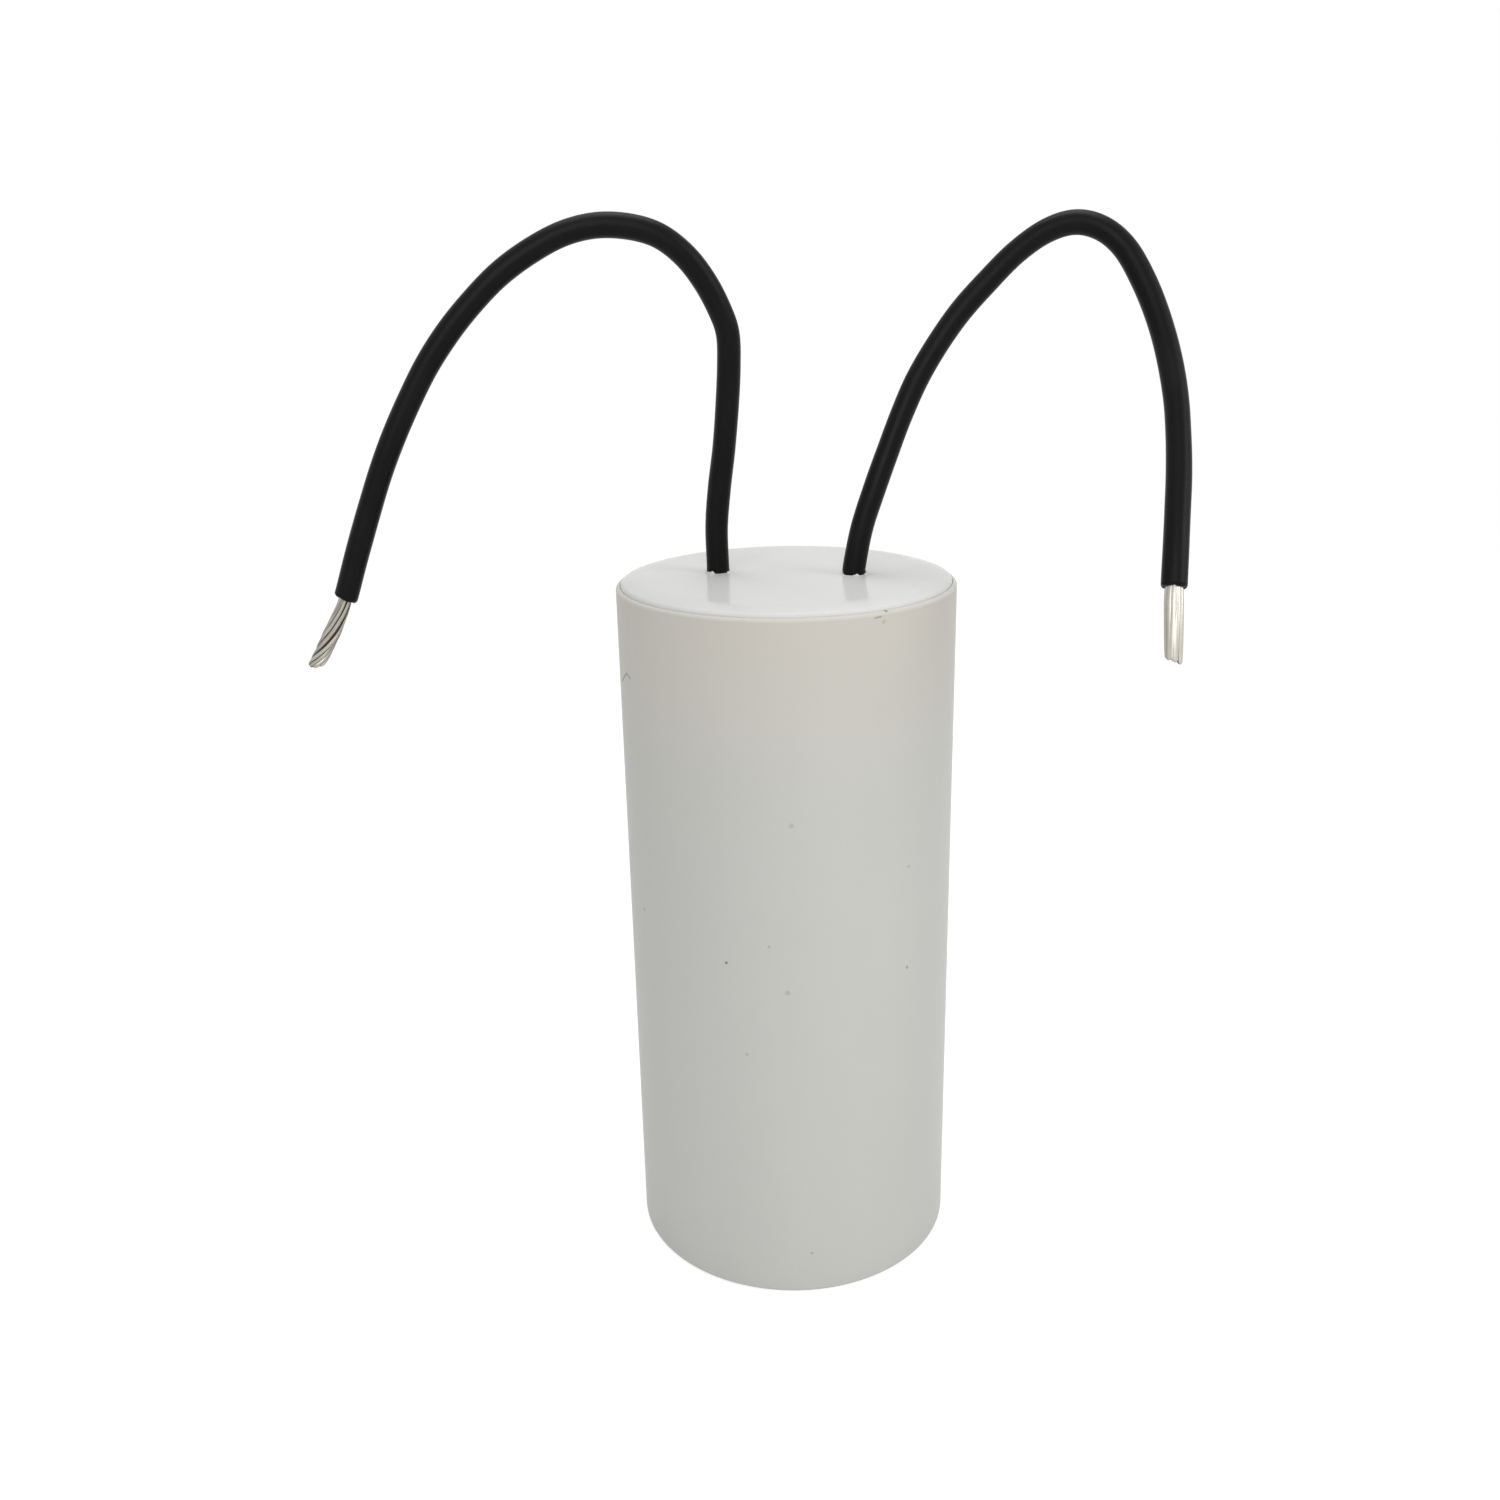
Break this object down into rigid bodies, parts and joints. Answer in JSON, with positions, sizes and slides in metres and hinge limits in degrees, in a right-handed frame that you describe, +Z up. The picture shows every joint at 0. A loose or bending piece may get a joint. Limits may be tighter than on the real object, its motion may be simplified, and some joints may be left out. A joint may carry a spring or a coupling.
{
  "type": "motor run capacitor",
  "caption": "Round white moulded can holding a potted wound film capacitor, with two black stranded leads that arch up and over to stripped ends.",
  "frame": {"origin": "centre of the can's foot, on the surface that the can stands on", "axes": "+Z up the can's axis towards the cover and the leads; the two lead holes lie on X, the left lead at -X"},
  "size_m": [0.1101, 0.045, 0.1417],
  "materials": {
    "case_plastic": "warm white moulded polypropylene, satin",
    "cover_plastic": "white moulded plastic, glossy",
    "resin": "amber casting resin",
    "metallised_film": "silvery metallised film, tightly wound",
    "core_tube": "natural plastic tube",
    "sprayed_zinc": "grainy sprayed zinc",
    "solder": "bright solder",
    "lead_insulation": "black flexible vinyl, satin",
    "tinned_strands": "tinned copper strands"
  },
  "bodies": {
    "root": {"case": "case_plastic", "end_cover": "cover_plastic", "potting_resin": "resin", "film_winding": "metallised_film", "winding_core": "core_tube", "top_end_spray": "sprayed_zinc", "bottom_end_spray": "sprayed_zinc", "top_solder_joint": "solder", "bottom_solder_joint": "solder", "left_lead_insulation": "lead_insulation", "left_lead_conductor": "tinned_strands", "right_lead_insulation": "lead_insulation", "right_lead_conductor": "tinned_strands"}
  },
  "joints": []
}
